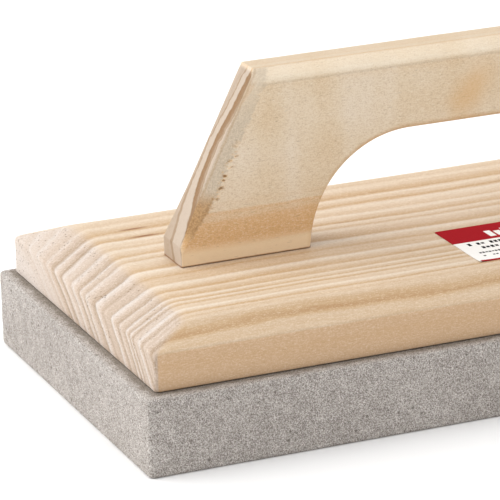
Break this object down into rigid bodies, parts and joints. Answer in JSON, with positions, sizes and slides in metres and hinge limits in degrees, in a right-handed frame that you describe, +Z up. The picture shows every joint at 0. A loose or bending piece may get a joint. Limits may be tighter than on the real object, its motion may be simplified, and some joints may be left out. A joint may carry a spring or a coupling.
{
  "type": "sponge float",
  "caption": "Hand float with a bevelled pine backing board, a plank bow handle with a finger opening, and a thick grey foam working pad glued underneath.",
  "frame": {"origin": "centre of the foam pad's working face, the flat bottom face that the float rests on", "axes": "+X along the float's length, +Y across its width, away from the labelled side, +Z up through the handle"},
  "size_m": [0.31, 0.15, 0.1144],
  "materials": {
    "board_pine": "planed bare pine, matt",
    "handle_pine": "planed bare pine, matt",
    "foam": "fine open-cell grey sponge, matt",
    "contact_adhesive": "dried contact adhesive film",
    "wood_glue": "dried wood glue",
    "zinc_steel": "bright zinc plated",
    "label_paper": "printed coated paper, red header over white"
  },
  "bodies": {
    "root": {"foam_pad": "foam", "foam_adhesive": "contact_adhesive", "backing_board": "board_pine", "handle_glue": "wood_glue", "handle": "handle_pine", "handle_screws": "zinc_steel", "label": "label_paper"}
  },
  "joints": []
}
